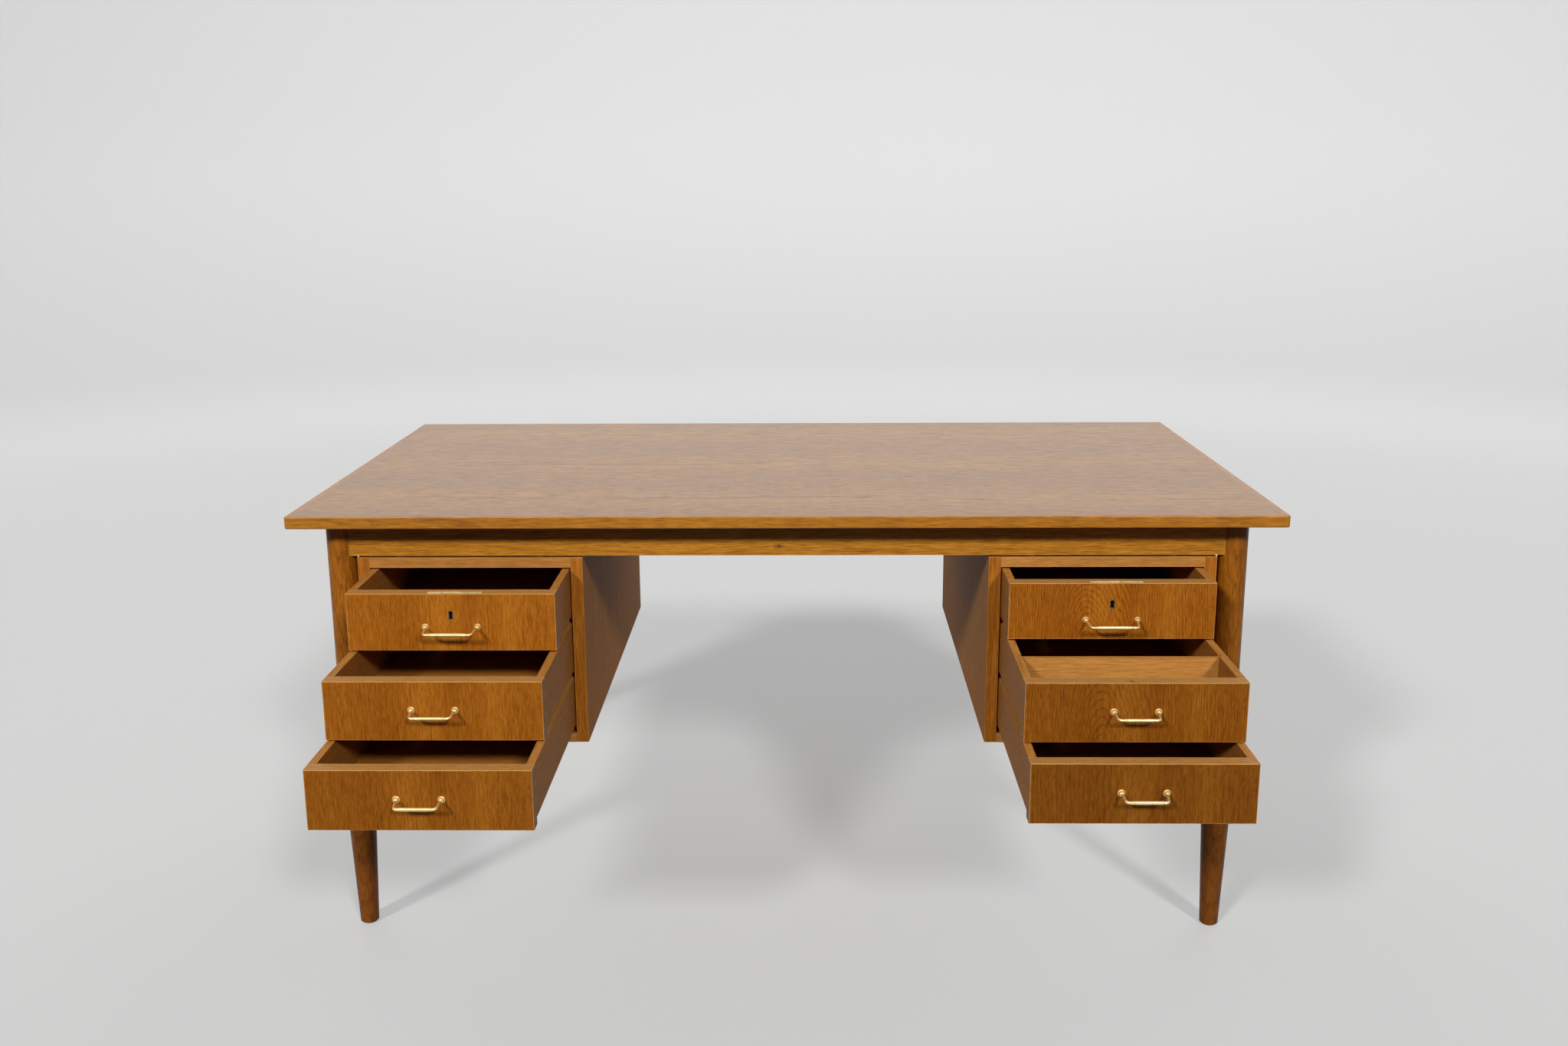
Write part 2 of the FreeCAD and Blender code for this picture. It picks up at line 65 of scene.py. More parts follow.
# The lamps: two keys in front, two fills behind that don't show in the gloss, and a softbox that
# shows only there, each with its strength, width and direction
Lamp = namedtuple("Lamp", "name strength degrees direction lights shines", defaults=(True, True))
lamps = (
    Lamp("left_key", 2.05, 8.0, Vector((0.48, 0.72, -0.50))),
    Lamp("right_key", 1.90, 8.0, Vector((-0.35, 0.78, -0.515))),
    Lamp("right_back_fill", 0.80, 40.0, Vector((-0.45, -0.75, -0.38)), shines=False),
    Lamp("left_back_fill", 0.78, 40.0, Vector((0.45, -0.75, -0.38)), shines=False),
    Lamp("softbox", 0.75, 60.0, Vector((0.0, 0.90, -0.35)), lights=False),
)
sky_strength = 0.20
sky_seen_strength = 0.74

# The tones of each oak, as linear red, green and blue
Tones = namedtuple("Tones", "pale dark pore")
veneer = Tones((0.455, 0.160, 0.0130), (0.240, 0.060, 0.0016), (0.090, 0.022, 0.0010))
golden = Tones((0.530, 0.222, 0.0220), (0.245, 0.082, 0.0050), (0.085, 0.023, 0.0012))
amber = Tones((0.500, 0.200, 0.0120), (0.225, 0.070, 0.0020), (0.080, 0.021, 0.0010))
leg_brown = Tones((0.390, 0.130, 0.0080), (0.165, 0.047, 0.0028), (0.075, 0.020, 0.0012))
# painted_shade_brown: painted shade, darkening the legs towards their feet and the hanger spacers in
# their narrow gap
painted_shade_brown = Tones((0.210, 0.062, 0.0060), (0.080, 0.021, 0.0022), (0.045, 0.011, 0.0012))
table = Tones((0.482, 0.240, 0.0660), (0.229, 0.091, 0.0070), (0.088, 0.029, 0.0020))
table_flank = Tones((0.430, 0.210, 0.0680), (0.203, 0.081, 0.0090), (0.082, 0.028, 0.0030))
# rim_painted_sheen: the lipping's upper face, paler and greyer as a painted sheen where its weaker
# lacquer reflects less than the top's
rim_painted_sheen = Tones((0.520, 0.275, 0.1400), (0.270, 0.130, 0.0500), (0.120, 0.050, 0.0150))
umber = Tones((0.330, 0.130, 0.0210), (0.240, 0.088, 0.0130), (0.110, 0.037, 0.0050))
honey = Tones((0.520, 0.230, 0.0480), (0.330, 0.128, 0.0210), (0.150, 0.053, 0.0085))
wheat = Tones((0.530, 0.265, 0.0780), (0.350, 0.156, 0.0380), (0.155, 0.060, 0.0120))
end_grain = (0.110, 0.044, 0.0100)
# worn_and_highlit_edge: the tone of edges lightened as wear and as a painted highlight
worn_and_highlit_edge = (0.62, 0.30, 0.085)

# How light single pieces are against their tones: painted light fall-off, darker downwards and to the
# right as under lamps that fall off
front_falloff_shades = {
    "top_left": 0.97, "middle_left": 0.86, "bottom_left": 0.74,
    "top_right": 0.90, "middle_right": 0.67, "bottom_right": 0.55,
}
# The front right leg is painted darker by the same fall-off
leg_falloff_shades = {"front_right_leg": 0.88}
drawer_bottom_shade = 1.25
# The heights in metres over which the legs' painted shade fades out above the foot
foot_shade_heights = (0.0, 0.55)

# The growth of a piece of wood: where the middle of the tree lies across and behind the piece, how
# fast the rings run out of it, how wide a year is and how far the rings waver, all in metres, and
# how strongly the rings show
Figure = namedtuple("Figure", "across deep slant ring waver strength", defaults=(0.006, 0.45))
straight = Figure(0.14, 0.10, 0.02, 0.0045)
leaf_figure = Figure(0.0, 0.020, 0.004, 0.0060, 0.008, 1.0)
apron_figure = Figure(0.0, 0.030, 0.03, 0.0042, 0.006, 0.7)
leg_figure = Figure(0.004, 0.026, 0.05, 0.0038, 0.006, 0.7)
front_figures = {
    "top_left": Figure(0.17, 0.06, 0.03, 0.0050),
    "middle_left": Figure(-0.20, 0.07, 0.03, 0.0046),
    "bottom_left": Figure(0.19, 0.07, 0.03, 0.0050),
    "top_right": Figure(-0.032, 0.014, 0.40, 0.0040, 0.008, 1.5),
    "middle_right": Figure(-0.045, 0.016, 0.32, 0.0042, 0.007, 1.1),
    "bottom_right": Figure(0.02, 0.12, 0.05, 0.0048, 0.006, 0.6),
}
flank_reach = 0.045
heart_sway = 0.05

# The dashes of the grain to the metre, the strength of its broad clouds and the contrast of its dashes
long_dash = 22.0
leg_dash = 36.0
top_dash = 16.0
front_dash = 42.0
usual_cloud = 1.2
top_cloud = 0.6
front_cloud = 1.5
usual_contrast = 1.5
front_contrast = 1.15

# Noises, each with so many cells to the metre along the grain and across it, its detail and its
# roughness; the four that follow the dashes give a share of their count instead, along the grain
Noise = namedtuple("Noise", "along across detail roughness", defaults=(2.0, 0.5))
drift_noise = Noise(1.6, 9.0)
broad_noise = Noise(1.3, 20.0, 3.0)
calm_noise = Noise(2.2, 16.0)
waver_noise = Noise(0.3, 48.0)
band_noise = Noise(1.2, 300.0)
fibre_noise = Noise(2.0, 800.0, 3.0, 0.6)
stroke_noise = Noise(2.6, 1300.0, 1.0)
sway_noise = Noise(2.5, 1.0)
streak_noise = Noise(11.0, 170.0)
knot_noise = Noise(160.0, 420.0, 3.0)
scuff_highlight_noise = Noise(45.0, 45.0, 3.0)
metal_noise = Noise(70.0, 70.0, 3.0)
metal_rub_noise = Noise(220.0, 1900.0)
lock_noise = Noise(90.0, 90.0, 3.0)
lock_rub_noise = Noise(120.0, 1500.0)
speckle_noise = Noise(3.0, 3.0)

# What oak is made of: the part of a year that is early wood, the pores in it and elsewhere, how
# lively the fibres are, and what each adds to the tone, the roughness and the relief
early_start = 0.60
early_end = 0.97
pore_bounds = (0.50, 0.64)
early_pores = 0.4
other_pores = 0.6
pore_share = 0.45
calm_bounds = (0.35, 0.65)
lively_least = 0.6
lively_gain = 1.1
tone_middle = 0.57
ring_darkness = 0.36
least_roughness = 0.24
pore_roughness = 0.18
fibre_roughness = 0.12
broad_roughness = 0.10
fibre_height = 0.4

# The finish: the relief of veneer and of solid wood in metres, the shine and the lacquer of each
# piece, and how much of the oak's own roughness the matt pieces keep and gain
veneer_relief = 0.00005
solid_relief = 0.00006
board_shine = 0.3
top_shine = 0.5
lipping_shine = 0.15
leg_shine = 0.12
apron_shine = 0.08
panel_shine = 0.12
front_shine = 0.08
drawer_shine = 0.15
top_lacquer = 0.5
lipping_lacquer = 0.3
lacquer_roughness = 0.25
matt_keep = 0.6
panel_matt = 0.44
drawer_matt = 0.40

# Edges lightened as wear and as a painted highlight along the arrises: how strongly they show and how
# wide they are in metres
WearHighlight = namedtuple("WearHighlight", "share width", defaults=(0.0014,))
lipping_wear_highlight = WearHighlight(0.45, 0.0018)
apron_wear_highlight = WearHighlight(0.35)
panel_wear_highlight = WearHighlight(0.4)
front_wear_highlight = WearHighlight(0.8, 0.0016)
wear_highlight_least = 0.2
wear_highlight_wander = 1.6
wear_highlight_bounds = (0.15, 1.0)
facing_bounds = (0.6, 0.85)
end_grain_share = 0.75

# The veneer of the top: the width of its leaves, where the heart of the front one lies, how the next
# leaf is cut along and deep, how far the heart sways, and the dark streaks in the heart and elsewhere
leaf_width = 0.31
first_leaf_middle = -0.31
leaf_shift = 2.37
leaf_depth = 0.004
top_breadth_share = 0.55
leaf_sway = 0.05
leaf_flank = (0.03, 0.11)
leaf_heart = (0.004, 0.026)
streak_bounds = (0.56, 0.68)
heart_streaks = 0.40
other_streaks = 0.34

# Small knots, each as a place on its piece's surface from the middle of the desk, and how far it
# reaches along and across the desk
Knot = namedtuple("Knot", "place length breadth")
apron_knot = Knot(Vector((-0.010, -0.398, 0.678)), 0.0130, 0.0065)
edge_knot = Knot(Vector((0.510, -0.679, 0.545)), 0.0050, 0.0065)
knot_raggedness = 1.4
smudge_bounds = (0.15, 1.1)
smudge_share = 0.62
pinhole_bounds = (0.0010, 0.0026)
pinhole_share = 0.80

# Metals: the colours between which they vary, their roughness, how metallic they are, and lacquer
Metal = namedtuple("Metal", "dull bright roughness metallic lacquer", defaults=(1.0, 0.0))
handle_metal = Metal((0.89, 0.63, 0.24), (0.96, 0.72, 0.32), 0.24, 0.72, 1.0)
bolt_metal = Metal((0.72, 0.54, 0.23), (0.97, 0.82, 0.48), 0.36, 0.6)
liner_metal = Metal((0.20, 0.14, 0.07), (0.38, 0.29, 0.15), 0.40)
screw_metal = Metal((0.42, 0.42, 0.42), (0.60, 0.60, 0.60), 0.30)
# keyhole_shade_metal: the lock case, near black as dark metal and as painted shade seen through the
# keyhole
keyhole_shade_metal = Metal((0.006, 0.005, 0.004), (0.014, 0.011, 0.008), 0.36, 0.5)
metal_bounds = (0.3, 0.65)
metal_cloud_roughness = 0.06
metal_rub_roughness = 0.04
metal_relief = 0.000001
metal_lacquer_roughness = 0.06
lock_roughness = 0.2
lock_relief = 0.00001
selvedge_depths = (0.0045, 0.004)


class Graph:
    """A node material in the making: each call adds one node or more and gives back an output."""

    def __init__(self, name):
        self.material = bpy.data.materials.new(name)
        self.material.use_nodes = True
        self.tree = self.material.node_tree
        self.tree.nodes.clear()

    def add(self, kind, inputs, output=0, **settings):
        node = self.tree.nodes.new("ShaderNode" + kind)
        for name, value in settings.items():
            setattr(node, name, value)
        for place, value in inputs.items():
            if isinstance(value, bpy.types.NodeSocket):
                self.tree.links.new(value, node.inputs[place])
            else:
                node.inputs[place].default_value = value
        return node.outputs[output]

    def place(self):
        return self.add("TexCoord", {}, output="Object")

    def facing(self, axis):
        """How squarely the surface faces along an axis, either way, from 0 to 1."""
        normal = self.vector("ABSOLUTE", self.add("TexCoord", {}, output="Normal"))
        return self.step(self.split(normal)[axis], facing_bounds)

    def math(self, operation, a, b=0.0, clamp=False):
        return self.add("Math", {0: a, 1: b}, operation=operation, use_clamp=clamp)

    def total(self, *terms, plus=0.0):
        """A number plus the sum of values, each times its weight."""
        result = plus
        for value, weight in terms:
            result = self.add("Math", {0: value, 1: weight, 2: result}, operation="MULTIPLY_ADD")
        return result

    def vector(self, operation, a, b=(0.0, 0.0, 0.0)):
        return self.add("VectorMath", {0: a, 1: b}, operation=operation)

    def length(self, vector):
        return self.add("VectorMath", {0: vector}, output="Value", operation="LENGTH")

    def split(self, vector):
        node = self.tree.nodes.new("ShaderNodeSeparateXYZ")
        self.tree.links.new(vector, node.inputs[0])
        return tuple(node.outputs)

    def join(self, x, y, z):
        return self.add("CombineXYZ", {0: x, 1: y, 2: z})

    def noise(self, vector, noise, dash=1.0):
        """Clouds about 0.5, as many as the noise says, with its count along the grain times dash."""
        stretch = (noise.along * dash, noise.across, noise.across)
        inputs = {"Vector": self.vector("MULTIPLY", vector, stretch), "Scale": 1.0,
                  "Detail": noise.detail, "Roughness": noise.roughness}
        return self.add("TexNoise", inputs)

    def step(self, value, bounds):
        """A smooth step from 0 to 1 of a value between two bounds."""
        low, high = bounds
        return self.add("MapRange", {0: value, 1: low, 2: high}, interpolation_type="SMOOTHSTEP")

    def fall(self, value, bounds):
        """A smooth step from 1 to 0 of a value between two bounds."""
        return self.math("SUBTRACT", 1.0, self.step(value, bounds))

    def mix(self, factor, a, b):
        """A blend of two colours."""
        a, b = [(*c, 1.0) if isinstance(c, tuple) else c for c in (a, b)]
        return self.add("Mix", {0: factor, 6: a, 7: b}, output=2, data_type="RGBA")

    def blend(self, factor, a, b):
        """A blend of two plain values."""
        return self.add("Mix", {0: factor, 2: a, 3: b}, output=0)

    def blend_axes(self, factor, a, b):
        return [self.blend(factor, one, other) for one, other in zip(a, b)]

    def blend_tones(self, factor, a, b):
        return Tones(*[self.mix(factor, one, other) for one, other in zip(a, b)])

    def finish(self, layers, depth, **sockets):
        """Closes the graph with one surface shader, with a bump of the given depth in metres."""
        colour, roughness, height = layers
        inputs = {"Base Color": colour, "Roughness": roughness}
        inputs.update({name.replace("_", " "): value for name, value in sockets.items()})
        inputs["Normal"] = self.add("Bump", {"Height": height, "Distance": depth, "Strength": 1.0})
        shader = self.add("BsdfPrincipled", inputs)
        output = self.tree.nodes.new("ShaderNodeOutputMaterial")
        self.tree.links.new(shader, output.inputs["Surface"])
        return self.material


def grain_axes(graph, grain, origin=(0.0, 0.0, 0.0)):
    """Coordinates from an origin, in turn along the grain's axis, across it and deep."""
    x, y, z = graph.split(graph.vector("SUBTRACT", graph.place(), tuple(origin)))
    return {along_x: (x, y, z), along_y: (y, x, z), along_z: (z, x, y)}[grain]


def oak(graph, axes, tones, figure, dash, cloud=usual_cloud, contrast=usual_contrast):
    """Oak as a colour, a roughness and a height, with so many dashes of grain to the metre."""
    along, across, deep = axes
    place = graph.join(along, across, deep)
    drift = graph.noise(place, drift_noise)
    broad = graph.noise(place, broad_noise)
    calm = graph.noise(place, calm_noise)
    waver = graph.noise(place, waver_noise, dash)
    band = graph.noise(place, band_noise, dash)
    fibre = graph.noise(place, fibre_noise, dash)
    stroke = graph.noise(place, stroke_noise, dash)

    side = graph.total((across, 1.0), (drift, heart_sway), plus=-figure.across - heart_sway / 2)
    back = graph.total((deep, 1.0), plus=-figure.deep)
    side_square = graph.math("POWER", side, 2.0)
    squares = graph.total((side_square, 1.0), (graph.math("POWER", back, 2.0), 1.0))
    flank = graph.total((side_square, flank_reach ** -2), plus=1.0)
    lean = graph.math("DIVIDE", graph.math("MULTIPLY", along, figure.slant), flank)
    radius = graph.total((graph.math("SQRT", squares), 1.0), (lean, 1.0), (waver, figure.waver))
    year = graph.math("FRACT", graph.math("DIVIDE", radius, figure.ring))
    early = graph.math("SUBTRACT", graph.step(year, (early_start, early_end)),
                       graph.step(year, (early_end, 1.0)))

    pore = graph.math("MULTIPLY", graph.step(stroke, pore_bounds),
                      graph.total((early, early_pores), plus=other_pores))
    ring = graph.math("MULTIPLY", early, figure.strength)
    lively = graph.total((graph.step(calm, calm_bounds), lively_gain), plus=lively_least)
    strand = graph.math("MULTIPLY", graph.total((fibre, 1.0), plus=-0.5), lively)
    tone = graph.total((strand, 1.0), (band, contrast), (broad, cloud), (ring, -ring_darkness),
                       plus=tone_middle - contrast / 2 - cloud / 2)
    colour = graph.mix(graph.math("MULTIPLY", tone, 1.0, clamp=True), tones.dark, tones.pale)
    colour = graph.mix(graph.math("MULTIPLY", pore, pore_share), colour, tones.pore)
    roughness = graph.total((pore, pore_roughness), (fibre, fibre_roughness),
                            (broad, broad_roughness), plus=least_roughness)
    height = graph.total((pore, -1.0), (fibre, fibre_height))
    return [colour, roughness, height]


def arris(graph, node, width):
    """How near a point of a box-shaped piece lies to one of its edges, from 0 to 1 on the edge."""
    place = graph.place()
    low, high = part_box(node)
    near = graph.vector("MINIMUM", graph.vector("SUBTRACT", place, tuple(low)),
                        graph.vector("SUBTRACT", tuple(high), place))
    x, y, z = graph.split(near)
    smaller = graph.math("MINIMUM", x, y)
    larger = graph.math("MAXIMUM", x, y)
    second = graph.math("MAXIMUM", smaller, graph.math("MINIMUM", larger, z))
    scuff_highlight = graph.noise(place, scuff_highlight_noise)
    reach = graph.total((scuff_highlight, width * wear_highlight_wander), plus=width * wear_highlight_least)
    return graph.fall(graph.math("DIVIDE", second, reach), wear_highlight_bounds)


def rub_and_highlight(graph, layers, node, wear):
    """Lightens the edges of a box-shaped piece, as wear and as a painted highlight along its arrises.
    """
    # The lightening stands for wear and for a painted highlight along the arrises
    worn = graph.math("MULTIPLY", arris(graph, node, wear.width), wear.share)
    layers[0] = graph.mix(worn, layers[0], worn_and_highlit_edge)


def add_knot(graph, layers, knot):
    """A small ragged brown knot, with a dark pinhole at its heart."""
    place = graph.place()
    ragged = graph.noise(place, knot_noise)
    middle = knot.place + Vector((0.0, desk_middle_y, 0.0))
    away = graph.vector("SUBTRACT", place, tuple(middle))
    share = graph.length(graph.vector("DIVIDE", away, (knot.length, knot.breadth, knot.breadth)))
    reach = graph.total((share, 1.0), (ragged, knot_raggedness), plus=-knot_raggedness / 2)
    smudge = graph.math("MULTIPLY", graph.fall(reach, smudge_bounds), smudge_share)
    pinhole = graph.math("MULTIPLY", graph.fall(graph.length(away), pinhole_bounds), pinhole_share)
    layers[0] = graph.mix(smudge, layers[0], end_grain)
    layers[0] = graph.mix(pinhole, layers[0], golden.pore)


def shaded(tones, shade):
    """The same tones, all darker or lighter by one share."""
    return Tones(*[tuple(part * shade for part in tone) for tone in tones])


def middle_of(node):
    low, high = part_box(node)
    return (low + high) / 2


def dress(node, material):
    slots = nodes[node].data.materials
    slots.clear()
    slots.append(material)


def board(name, grain, tones):
    """A plain solid oak board, with its grain along one axis."""
    graph = Graph(name)
    layers = oak(graph, grain_axes(graph, grain), tones, straight, long_dash)
    return graph.finish(layers, solid_relief, Specular_IOR_Level=board_shine)


def make_top():
    """The veneered top, in leaves that lie side by side along its length."""
    graph = Graph("top_veneer")
    x, y = graph.split(graph.place())[:2]
    first = desk_middle_y + first_leaf_middle - leaf_width / 2
    count = graph.math("DIVIDE", graph.math("SUBTRACT", y, first), leaf_width)
    leaf = graph.math("FLOOR", count)
    along = graph.total((leaf, leaf_shift), (x, 1.0))
    across = graph.total((graph.math("FRACT", count), leaf_width), plus=-leaf_width / 2)
    deep = graph.math("MULTIPLY", leaf, leaf_depth)
    sway = graph.noise(graph.join(along, leaf, 0.0), sway_noise)
    swayed = graph.total((across, 1.0), (sway, leaf_sway), plus=-leaf_sway / 2)
    from_heart = graph.math("ABSOLUTE", swayed)
    tones = graph.blend_tones(graph.step(from_heart, leaf_flank), table, table_flank)
    narrowed = graph.math("MULTIPLY", across, top_breadth_share)
    layers = oak(graph, (along, narrowed, deep), tones, leaf_figure, top_dash, top_cloud)
    heart = graph.fall(from_heart, leaf_heart)
    streak = graph.step(graph.noise(graph.join(along, across, deep), streak_noise), streak_bounds)
    dark = graph.math("MULTIPLY", streak, graph.total((heart, heart_streaks), plus=other_streaks))
    layers[0] = graph.mix(dark, layers[0], table.pore)
    dress("top_panel", graph.finish(layers, veneer_relief, Specular_IOR_Level=top_shine,
                                    Coat_Weight=top_lacquer, Coat_Roughness=lacquer_roughness))


def make_lipping():
    """The mitred lippings of the top, each with its grain along its own length."""
    graph = Graph("lipping_oak")
    low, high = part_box("top_lipping")
    x, y, z = graph.split(graph.vector("SUBTRACT", graph.place(), tuple((low + high) / 2)))
    from_end = graph.total((graph.math("ABSOLUTE", x), -1.0), plus=high.x)
    from_side = graph.total((graph.math("ABSOLUTE", y), -1.0), plus=(high.y - low.y) / 2)
    at_end = graph.math("LESS_THAN", from_end, from_side)
    axes = (graph.blend(at_end, x, y), graph.blend(at_end, y, x), z)
    # The lipping's upper face takes the painted sheen tones
    tones = graph.blend_tones(graph.facing(along_z), amber, rim_painted_sheen)
    layers = oak(graph, axes, tones, straight, long_dash)
    rub_and_highlight(graph, layers, "top_lipping", lipping_wear_highlight)
    dress("top_lipping", graph.finish(layers, solid_relief, Specular_IOR_Level=lipping_shine,
                                      Coat_Weight=lipping_lacquer, Coat_Roughness=lacquer_roughness))


def make_leg(node):
    """A turned leg, with painted shade darkening it towards its foot."""
    graph = Graph(f"{node}_oak")
    height = graph.split(graph.place())[along_z]
    # The foot takes painted shade; both tones take the leg's painted fall-off share
    foot, shaft = [shaded(tones, leg_falloff_shades.get(node, 1.0)) for tones in (painted_shade_brown, leg_brown)]
    tones = graph.blend_tones(graph.step(height, foot_shade_heights), foot, shaft)
    axes = grain_axes(graph, along_z, middle_of(node))
    layers = oak(graph, axes, tones, leg_figure, leg_dash)
    dress(node, graph.finish(layers, solid_relief, Specular_IOR_Level=leg_shine))


def make_apron(node):
    graph = Graph(f"{node}_oak")
    grain = along_x if node.startswith(("front", "back")) else along_y
    axes = grain_axes(graph, grain, middle_of(node))
    layers = oak(graph, axes, golden, apron_figure, long_dash)
    if node == "front_apron":
        add_knot(graph, layers, apron_knot)
    rub_and_highlight(graph, layers, node, apron_wear_highlight)
    dress(node, graph.finish(layers, solid_relief, Specular_IOR_Level=apron_shine))


def make_frame():
    for name in nodes:
        if name.endswith("_apron"):
            make_apron(name)
        if name.endswith("_leg"):
            make_leg(name)
    # The hanger spacers are painted dark, as the shade of their narrow gap
    dress("hanger_spacers", board("spacer_oak", along_z, painted_shade_brown))


def panel(node, grain, edge_tones):
    """A matt veneered carcass panel with solid lippings on its front and back edges."""
    graph = Graph(f"{node}_oak")
    tones = graph.blend_tones(graph.facing(along_y), umber, edge_tones)
    layers = oak(graph, grain_axes(graph, grain), tones, straight, long_dash)
    layers[1] = graph.total((layers[1], matt_keep), plus=panel_matt)
    rub_and_highlight(graph, layers, node, panel_wear_highlight)
    dress(node, graph.finish(layers, veneer_relief, Specular_IOR_Level=panel_shine))


def make_pedestals():
    for side in sides:
        for piece in ("outer_side", "inner_side", "well_back"):
            panel(f"{side}_pedestal_{piece}", along_z, veneer)
        for piece in ("top", "bottom"):
            panel(f"{side}_pedestal_{piece}", along_x, honey)
    dress("drawer_runners", board("runner_oak", along_y, honey))


def drawer_front(drawer):
    """Upright veneer on the face, level grain on the long edges and end grain at the ends."""
    node = f"{drawer}_drawer_front"
    graph = Graph(f"{node}_oak")
    upward = graph.facing(along_z)
    middle = middle_of(node)
    upright = grain_axes(graph, along_z, middle)
    level = grain_axes(graph, along_x, middle)
    axes = graph.blend_axes(upward, upright, level)
    # The face's tone carries the drawer's painted fall-off share
    tones = graph.blend_tones(upward, shaded(veneer, front_falloff_shades[drawer]), wheat)
    layers = oak(graph, axes, tones, front_figures[drawer], front_dash, front_cloud, front_contrast)
    at_end = graph.math("MULTIPLY", graph.facing(along_x), end_grain_share)
    layers[0] = graph.mix(at_end, layers[0], end_grain)
    if drawer == "middle_right":
        add_knot(graph, layers, edge_knot)
    rub_and_highlight(graph, layers, node, front_wear_highlight)
    dress(node, graph.finish(layers, veneer_relief, Specular_IOR_Level=front_shine))


def drawer_board(name, grain):
    """A drawer's thin matt boards, with their upper edges lighter."""
    graph = Graph(name)
    tones = graph.blend_tones(graph.facing(along_z), umber, honey)
    layers = oak(graph, grain_axes(graph, grain), tones, straight, long_dash)
    layers[1] = graph.total((layers[1], matt_keep), plus=drawer_matt)
    return graph.finish(layers, veneer_relief, Specular_IOR_Level=drawer_shine)


def make_drawers():
    lengthwise = drawer_board("drawer_side_oak", along_y)
    crosswise = drawer_board("drawer_back_oak", along_x)
    bottom = board("drawer_bottom_oak", along_x, shaded(umber, drawer_bottom_shade))
    for drawer in drawer_names:
        drawer_front(drawer)
        dress(f"{drawer}_drawer_sides", lengthwise)
        dress(f"{drawer}_drawer_back", crosswise)
        dress(f"{drawer}_drawer_bottom", bottom)
    dress("middle_right_drawer_divider", board("divider_oak", along_x, honey))


def metal(name, kind):
    """A rubbed metal with faint clouds and marks along it, under a share of clear lacquer."""
    graph = Graph(name)
    place = graph.place()
    cloud = graph.noise(place, metal_noise)
    rubs = graph.noise(place, metal_rub_noise)
    colour = graph.mix(graph.step(cloud, metal_bounds), kind.dull, kind.bright)
    rough = graph.total((cloud, metal_cloud_roughness), (rubs, metal_rub_roughness),
                        plus=kind.roughness - (metal_cloud_roughness + metal_rub_roughness) / 2)
    return graph.finish([colour, rough, rubs], metal_relief, Metallic=kind.metallic,
                        Coat_Weight=kind.lacquer, Coat_Roughness=metal_lacquer_roughness)


def lock_metal(drawer):
    """A lock's worn brass selvedge, over a near-black case: dark metal, and painted shade where it
    shows through the keyhole.
    """
    graph = Graph(f"{drawer}_lock_brass")
    place = graph.place()
    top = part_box(f"{drawer}_lock_case")[1].z
    cloud = graph.noise(place, lock_noise)
    rubs = graph.noise(place, lock_rub_noise)
    selvedge = graph.mix(graph.step(cloud, metal_bounds), bolt_metal.dull, bolt_metal.bright)
    case = graph.mix(cloud, keyhole_shade_metal.dull, keyhole_shade_metal.bright)
    bounds = [top - depth for depth in selvedge_depths]
    colour = graph.mix(graph.step(graph.split(place)[along_z], bounds), case, selvedge)
    rough = graph.total((cloud, lock_roughness), (rubs, lock_roughness), plus=keyhole_shade_metal.roughness)
    return graph.finish([colour, rough, rubs], lock_relief, Metallic=keyhole_shade_metal.metallic)


def make_metal():
    brass = metal("brass", handle_metal)
    bolt_brass = metal("bolt_brass", bolt_metal)
    liner_brass = metal("liner_brass", liner_metal)
    dress("frame_screws", metal("steel", screw_metal))
    for drawer in drawer_names:
        dress(f"{drawer}_handle", brass)
    for side in sides:
        dress(f"top_{side}_lock_case", lock_metal(f"top_{side}"))
        dress(f"top_{side}_lock_bolt", bolt_brass)
        dress(f"top_{side}_keyhole_liner", liner_brass)


def seen_ray(tree):
    """1 for what the camera, metal or glass sees, and 0 for light that only bounces."""
    rays = tree.nodes.new("ShaderNodeLightPath").outputs
    both = tree.nodes.new("ShaderNodeMath")
    every = tree.nodes.new("ShaderNodeMath")
    for node, a, b in ((both, rays["Is Camera Ray"], rays["Is Glossy Ray"]),
                       (every, both.outputs[0], rays["Is Transmission Ray"])):
        node.operation = "MAXIMUM"
        tree.links.new(a, node.inputs[0])
        tree.links.new(b, node.inputs[1])
    return every.outputs[0]


def stage_paper():
    """Pale paper where it is seen; light that only bounces finds it dark in front and bright behind."""
    graph = Graph("stage_paper")
    speckle = graph.noise(graph.place(), speckle_noise)
    y, z = graph.split(graph.place())[1:]
    cove = graph.math("SUBTRACT", graph.step(z, cove_starts), graph.step(z, cove_ends))
    colour = graph.mix(cove, paper_pale, cove_pale)
    colour = graph.mix(graph.math("MULTIPLY", speckle, speckle_share), colour, cove_pale)
    behind = graph.step(y, (desk_middle_y, desk_middle_y + bounce_turn))
    seen = seen_ray(graph.tree)
    colour = graph.mix(seen, graph.mix(behind, front_bounce, back_bounce), colour)
    glow = graph.math("MULTIPLY", seen, paper_glow)
    return graph.finish([colour, paper_roughness, speckle], paper_relief,
                        Specular_IOR_Level=paper_shine,
                        Emission_Color=(1.0, 1.0, 1.0, 1.0), Emission_Strength=glow)


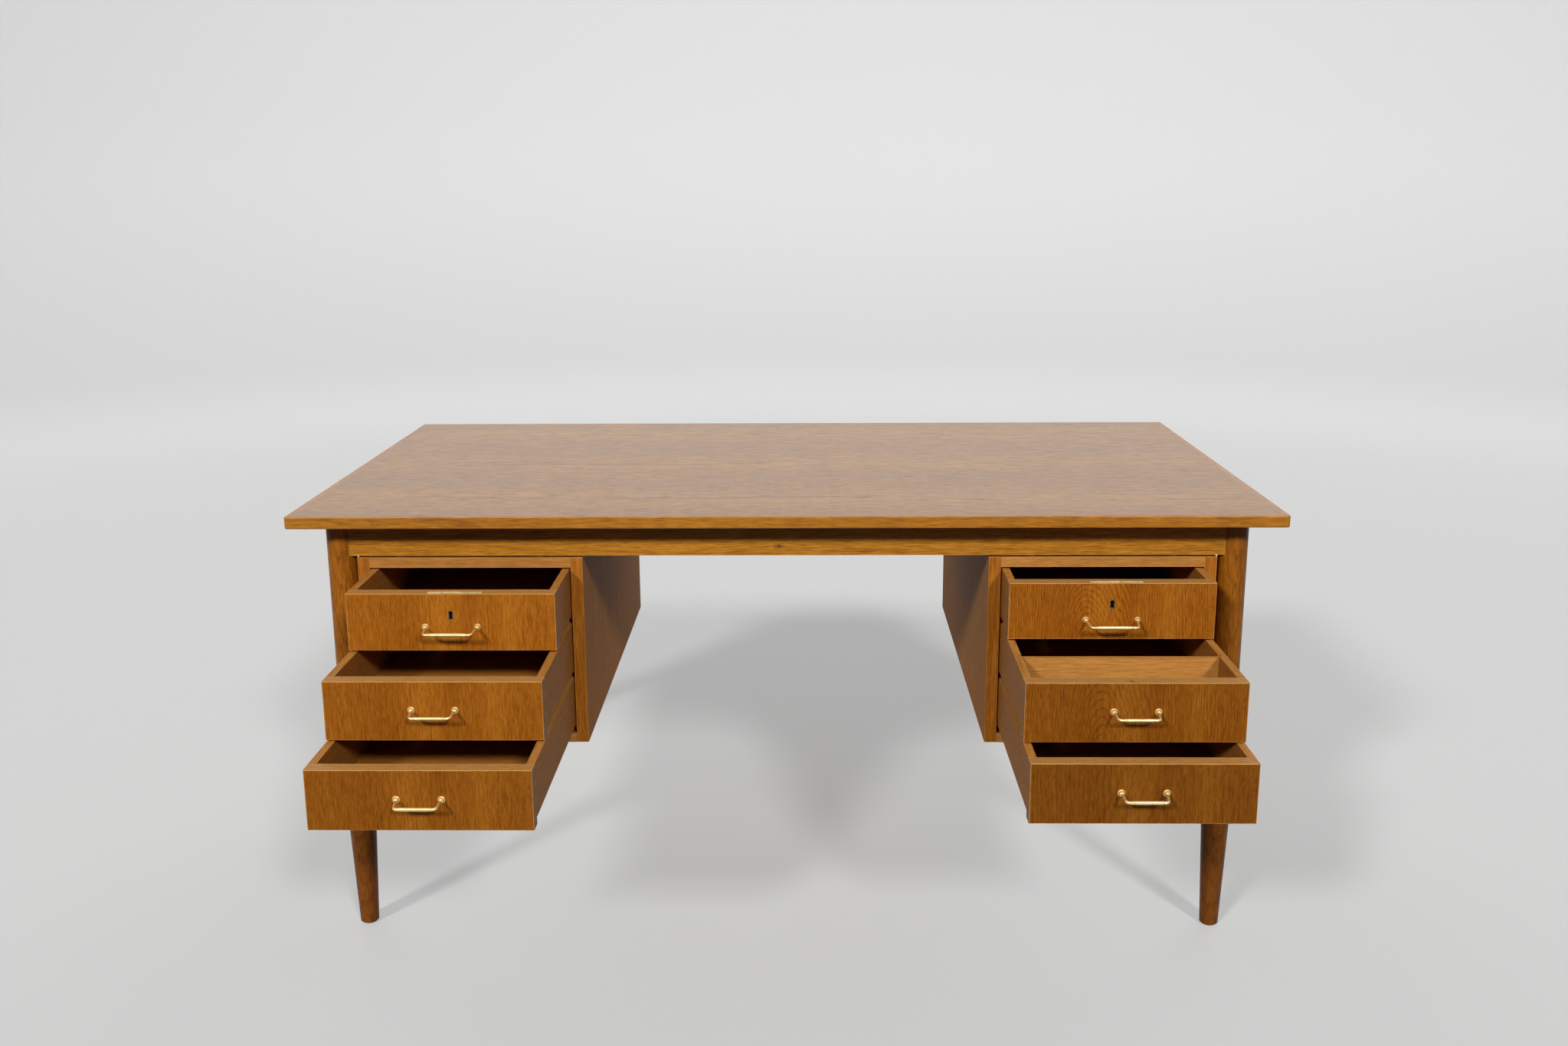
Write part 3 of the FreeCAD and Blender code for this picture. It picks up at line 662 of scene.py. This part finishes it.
def make_stage():
    """One turned sheet: a flat floor, a cove and a wall all round."""
    profile = [(floor_radius / 2, 0.0), (floor_radius, 0.0)]
    for index in range(1, cove_steps + 1):
        turn = math.pi / 2 * index / cove_steps
        radius = floor_radius + cove_radius * math.sin(turn)
        profile.append((radius, cove_radius * (1 - math.cos(turn))))
    profile.append((floor_radius + cove_radius, wall_height))
    points = [(0.0, 0.0, 0.0)]
    for index in range(stage_steps):
        turn = 2 * math.pi * index / stage_steps
        for radius, level in profile:
            points.append((radius * math.cos(turn), radius * math.sin(turn), level))
    faces = []
    for index in range(stage_steps):
        here = 1 + index * len(profile)
        there = 1 + (index + 1) % stage_steps * len(profile)
        faces.append((0, here, there))
        for ring in range(len(profile) - 1):
            faces.append((here + ring, here + ring + 1, there + ring + 1, there + ring))
    mesh = bpy.data.meshes.new("floor")
    mesh.from_pydata(points, [], faces)
    mesh.shade_smooth()
    mesh.materials.append(stage_paper())
    floor = bpy.data.objects.new("floor", mesh)
    floor.visible_shadow = False
    bpy.context.scene.collection.objects.link(floor)


def make_light():
    for lamp in lamps:
        light = bpy.data.lights.new(lamp.name, "SUN")
        light.energy = lamp.strength
        light.angle = math.radians(lamp.degrees)
        sun = bpy.data.objects.new(lamp.name, light)
        sun.rotation_euler = lamp.direction.to_track_quat("-Z", "Y").to_euler()
        sun.visible_diffuse = lamp.lights
        sun.visible_glossy = lamp.shines
        bpy.context.scene.collection.objects.link(sun)
    world = bpy.data.worlds.new("sky")
    world.use_nodes = True
    background = world.node_tree.nodes["Background"]
    background.inputs["Color"].default_value = (1.0, 1.0, 1.0, 1.0)
    strength = world.node_tree.nodes.new("ShaderNodeMapRange")
    strength.inputs["To Min"].default_value = sky_strength
    strength.inputs["To Max"].default_value = sky_seen_strength
    world.node_tree.links.new(seen_ray(world.node_tree), strength.inputs["Value"])
    world.node_tree.links.new(strength.outputs[0], background.inputs["Strength"])
    bpy.context.scene.world = world
    bpy.context.scene.view_settings.view_transform = "Standard"


def make_camera():
    level_right = Vector((math.cos(camera_yaw), math.sin(camera_yaw), 0))
    level_ahead = Vector((-math.sin(camera_yaw), math.cos(camera_yaw), 0))
    ahead = level_ahead * math.cos(camera_pitch) - Vector((0, 0, math.sin(camera_pitch)))
    down = ahead.cross(level_right)
    right = level_right * math.cos(camera_roll) + down * math.sin(camera_roll)
    up = level_right * math.sin(camera_roll) - down * math.cos(camera_roll)
    lens = bpy.data.cameras.new("camera")
    lens.sensor_width = sensor_width
    lens.lens = focal_pixels / photo_width * sensor_width
    camera = bpy.data.objects.new("camera", lens)
    turn = Matrix((right, up, -ahead)).transposed().to_4x4()
    camera.matrix_world = Matrix.Translation(camera_place) @ turn
    bpy.context.scene.collection.objects.link(camera)
    bpy.context.scene.camera = camera


make_top()
make_lipping()
make_frame()
make_pedestals()
make_drawers()
make_metal()
make_stage()
make_light()
make_camera()
